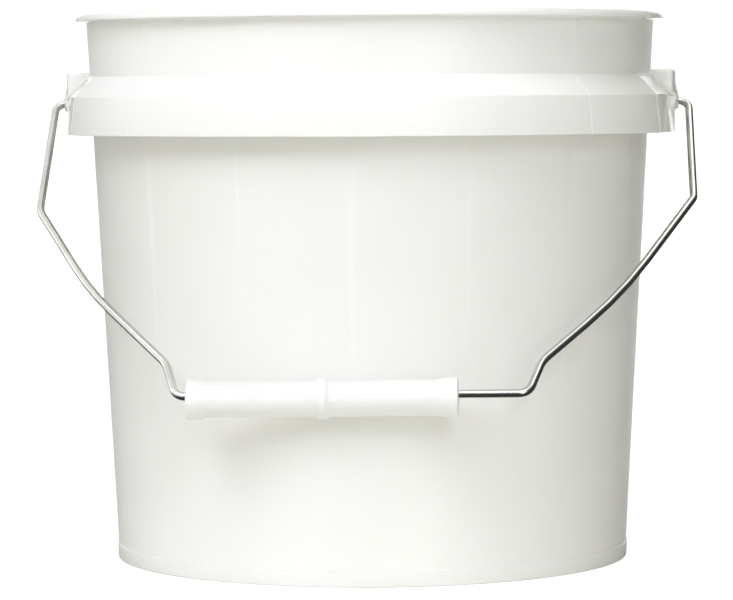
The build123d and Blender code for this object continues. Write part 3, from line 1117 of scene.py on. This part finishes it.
@dataclass
class Grip:
    """The moulded grip on the bail's handle stretch, in mm."""

    bail: Bail
    length: float = 88.4
    end_gap: float = 0.3
    radius: float = 6.2
    wall: float = 1.4
    flare_radius: float = 7.0
    flare_length: float = 3.0
    flare_cone: float = 3.6
    bead_proud: float = 0.9
    bead_width: float = 4.8
    bore_clearance: float = 1.15
    hang_gap: float = 0.1
    spine_wall: float = 1.2
    pocket_web: float = 3.0
    ribs: int = 4
    rib: float = 1.0
    rib_lift: float = 2.2
    rib_bite: float = 0.2
    draft: float = 0.045
    line_drop: float = 4.6
    facets: int = 96

    def place(self) -> float:
        """Middle of the grip along the handle: slid to -X until it meets the wire's bend."""
        bail = self.bail
        half = bail.left
        turn = math.atan2(bail.reach - half.neck_length, half.neck_out - bail.handle_out)
        straight = bail.handle_out - bail.handle_bend * math.tan(turn / 2)
        return -straight + self.end_gap + self.length / 2

    def outline(self) -> list[Vector]:
        """Closed section of the tube: outside, both end pockets and the bore."""
        half = self.length / 2
        bore = self.bail.wire / 2 + self.bore_clearance
        cone_start = half - self.flare_length
        cone_end = cone_start - self.flare_cone
        spine = bore + self.spine_wall
        inside = self.radius - self.wall
        web = self.pocket_web / 2
        bead = self.radius + self.bead_proud
        upper = [
            Corner(bead, self.bead_width / 4, 0.5, 4),
            Corner(self.radius, self.bead_width / 2, 0.5, 3),
            Corner(self.radius, cone_end, 1.5, 4),
            Corner(self.flare_radius, cone_start, 1.0, 4),
            Corner(self.flare_radius, half, 0.5, 5),
            Corner(inside, half, 0.25, 3),
            Corner(inside, web, 0.4, 3),
            Corner(spine, web, 0.4, 3),
            Corner(spine, half, 0.2, 2),
            Corner(bore, half, 0.3, 3),
        ]
        lower = [Corner(c.across, -c.up, c.radius, c.steps) for c in reversed(upper)]
        points = rounded_outline(upper + lower, closed=True)
        return points + points[:1]

    def ribs_inside(self) -> bpy.types.Object:
        """The short ribs between the tube and the spine in both end pockets."""
        bore = self.bail.wire / 2 + self.bore_clearance
        inner = bore + self.spine_wall - self.rib_bite
        outer = self.radius - self.wall + self.rib_bite
        low = self.pocket_web / 2 - self.rib_bite
        high = self.length / 2 - self.rib_lift
        deselect_all()
        bpy.ops.mesh.primitive_cube_add(
            size=MM, location=Vector(((inner + outer) / 2, 0, (low + high) / 2)) * MM)
        rib = bpy.context.object
        rib.scale = (outer - inner, self.rib, high - low)
        bpy.ops.object.transform_apply(location=True, rotation=True, scale=True)
        flips = (Matrix.Identity(4), Matrix.Rotation(HALF_TURN, 4, "X"))
        copies = [copied(rib, flip @ Matrix.Rotation(FULL_TURN * count / self.ribs, 4, "Z"))
                  for count in range(self.ribs) for flip in flips]
        bpy.data.objects.remove(rib)
        return join("grip_ribs", copies)

    def thread(self) -> Matrix:
        """Moves the grip from its own axis on Z to its place on the hanging wire."""
        out = self.place()
        tip = math.tan(math.radians(self.bail.slope))
        along = Matrix.Rotation(HALF_TURN / 2 - math.radians(self.bail.slope), 4, "Y")
        point = Vector((out, 0, -self.bail.reach + out * tip)) * MM
        sag = Matrix.Translation((0, 0, -(self.bore_clearance - self.hang_gap) * MM))
        return sag @ self.bail.hang() @ Matrix.Translation(point) @ along

    def line_turn(self) -> float:
        """Where round the tube the parting line lies: at rest it faces the front, a little down."""
        drop = math.radians(self.line_drop)
        facing = self.thread().to_3x3().inverted() @ Vector((0, -math.cos(drop), -math.sin(drop)))
        return math.atan2(facing.y, facing.x)

    def build(self) -> bpy.types.Object:
        """Models the grip as one closed mesh, drafted away from its mould's parting line."""
        piece = turned("grip_tube", self.outline(), self.facets)
        outer = (self.radius - self.wall / 2) * MM
        for vertex in piece.data.vertices:
            out = math.hypot(vertex.co.x, vertex.co.y)
            if out > outer:
                share = 1 - self.draft * abs(vertex.co.y) / out
                vertex.co.x *= share
                vertex.co.y *= share
        piece.data.transform(Matrix.Rotation(self.line_turn(), 4, "Z"))
        combine(piece, self.ribs_inside(), Cut.ADD)
        smooth(piece, 35)
        self.crease(piece, outer)
        piece.data.transform(self.thread())
        return piece

    def crease(self, piece: bpy.types.Object, outer: float) -> None:
        """Keeps the parting line crisp.

        Args:
            piece: The grip, still on its own axis.
            outer: Distance from the axis beyond which the outside lies, in metres.
        """
        turn = self.line_turn()
        for edge in piece.data.edges:
            ends = [piece.data.vertices[index].co for index in edge.vertices]
            if all(math.hypot(end.x, end.y) > outer and
                   abs(end.y * math.cos(turn) - end.x * math.sin(turn)) < WELD for end in ends):
                edge.use_edge_sharp = True

    def dress(self, piece: bpy.types.Object) -> None:
        """Gives the grip its finish and hands it to its body."""
        finish = MouldedPolyethylene("white_polyethylene_grip", "#f4f4f3", "#f0f1ee", 0.42)
        piece.data.materials.clear()
        piece.data.materials.append(finish.material())
        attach(piece, "grip")
        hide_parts("grip")


@dataclass(frozen=True)
class Softbox:
    """One square area light, aimed at the pail.

    Bearing and height are in degrees, power is in watts, and width and distance are in metres.
    One for gloss only is mirrored, but doesn't light what is matt.
    """

    name: str
    bearing: float
    height: float
    power: float
    width: float
    colour: str = "#ffffff"
    distance: float = 1.8
    aim: tuple[float, float, float] = (0.0, 0.0, 0.1)
    gloss_only: bool = False

    def light(self) -> None:
        """Adds the light to the scene."""
        lamp = bpy.data.lights.new(self.name, "AREA")
        lamp.energy = self.power
        lamp.size = self.width
        lamp.color = linear(self.colour)[:3]
        holder = bpy.data.objects.new(self.name, lamp)
        bpy.context.scene.collection.objects.link(holder)
        bearing, height = math.radians(self.bearing), math.radians(self.height)
        place = Vector((math.cos(bearing) * math.cos(height), math.sin(bearing) * math.cos(height),
                        math.sin(height))) * self.distance
        holder.location = place
        holder.rotation_euler = (Vector(self.aim) - place).to_track_quat("-Z", "Y").to_euler()
        holder.visible_diffuse = not self.gloss_only
        holder.visible_camera = False


@dataclass
class Studio:
    """Pale sweep, soft light and a camera at the photograph's viewing angle, in metres."""

    distance: float = 1.23333
    focal_px: float = 3504.63
    frame_px: float = 733.0
    sensor: float = 36.0
    camera_height: float = 0.162746
    camera_aside: float = -0.00166
    pitch: float = 0.05929
    roll: float = 0.00544
    azimuth: float = 3.85
    sweep_reach: float = 6.0
    sweep_rise: float = 5.0
    sweep_bend: float = 2.0
    sweep_facets: int = 96
    air_lean: tuple[float, float, float] = (-0.6, 0.0, 0.9)
    air_range: tuple[float, float, float, float] = (0.0, 0.75, 0.06, 1.25)

    def sweep(self) -> bpy.types.Object:
        """The paper floor, which curves up far off on all sides, so that any view has it behind."""
        side = rounded_outline([
            Corner(0, 0),
            Corner(self.sweep_reach / MM, 0, self.sweep_bend / MM, 24),
            Corner(self.sweep_reach / MM, self.sweep_rise / MM),
        ])
        piece = turned("paper_sweep", side, self.sweep_facets)
        smooth(piece, 30)
        piece.data.materials.clear()
        piece.visible_glossy = False
        paper = PaperSweep("white_paper_sweep", "#fbfaf5", "#f9f8f2", 0.75)
        piece.data.materials.append(paper.material())
        return piece

    def camera(self) -> None:
        """The camera, fitted to the photograph's frame."""
        lens = bpy.data.cameras.new("photo_camera")
        lens.sensor_width = self.sensor
        lens.lens = self.focal_px / self.frame_px * self.sensor
        lens.clip_start = 0.05
        lens.clip_end = 50
        holder = bpy.data.objects.new("photo_camera", lens)
        bpy.context.scene.collection.objects.link(holder)
        swing = Matrix.Rotation(math.radians(self.azimuth), 4, "Z")
        place = swing @ Vector((self.camera_aside, -self.distance, self.camera_height))
        look = swing @ Matrix.Rotation(HALF_TURN / 2 - self.pitch, 4, "X")
        look = look @ Matrix.Rotation(-self.roll, 4, "Z")
        holder.matrix_world = Matrix.Translation(place) @ look
        bpy.context.scene.camera = holder

    def lights(self) -> None:
        """Soft light, strongest from the left front and above, and weakest from the right."""
        for box in (
            Softbox("key_left_front", -120, 45, 15.5, 1.0, "#f6f6ff"),
            Softbox("high_front", -90, 60, 4.4, 1.0, "#fffbf6"),
            Softbox("fill_right_front", -70, 30, 7.2, 0.6, "#eef1ff"),
            Softbox("low_right_front", -65, 5, 4.2, 0.6, "#feffe8"),
            Softbox("low_left_front", -115, 5, 0.9, 0.6, "#fffbe0"),
            Softbox("side_left", 180, 20, 3.0, 1.0, "#fbffe4"),
            Softbox("high_right", 0, 70, 4.5, 0.8, "#fffae4"),
            Softbox("sheen_behind", 90, 17, 6.0, 1.2, distance=1.4, gloss_only=True),
        ):
            box.light()
        self.air()
        bpy.context.scene.view_settings.view_transform = "Standard"

    def air(self) -> None:
        """What metal and gloss mirror of the room: pale above and to the left, dark below and right."""
        world = bpy.data.worlds.new("studio_air")
        bpy.context.scene.world = world
        world.use_nodes = True
        tree = world.node_tree
        heading = tree.nodes.new("ShaderNodeTexCoord").outputs["Generated"]
        lean = tree.nodes.new("ShaderNodeVectorMath")
        lean.operation = "DOT_PRODUCT"
        lean.inputs[1].default_value = self.air_lean
        tree.links.new(heading, lean.inputs[0])
        fade = tree.nodes.new("ShaderNodeMapRange")
        fade.interpolation_type = "SMOOTHSTEP"
        for name, value in zip(("From Min", "From Max", "To Min", "To Max"), self.air_range):
            fade.inputs[name].default_value = value
        tree.links.new(lean.outputs["Value"], fade.inputs["Value"])
        tree.links.new(fade.outputs["Result"], tree.nodes["Background"].inputs["Strength"])
        tree.nodes["Background"].inputs["Color"].default_value = linear("#ffffff")
        world.cycles_visibility.diffuse = False
        world.cycles_visibility.scatter = False

    def build(self) -> bpy.types.Object:
        """Sets up the floor, the lights and the camera."""
        self.lights()
        self.camera()
        return self.sweep()


def report(piece: bpy.types.Object) -> None:
    """Reports one finished piece with its count of faces."""
    LOG.info("%s: %d faces, rides on %s", piece.name, len(piece.data.polygons),
             piece.get("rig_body", "the stage"))


def main() -> None:
    """Builds and dresses the pieces in order."""
    logging.basicConfig(level=logging.INFO, format="%(name)s %(message)s")
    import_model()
    report(Studio().build())
    pail = Pail()
    bail = Bail(pail)
    for part in (pail, bail, Grip(bail)):
        piece = part.build()
        part.dress(piece)
        report(piece)


if __name__ == "__main__":
    main()
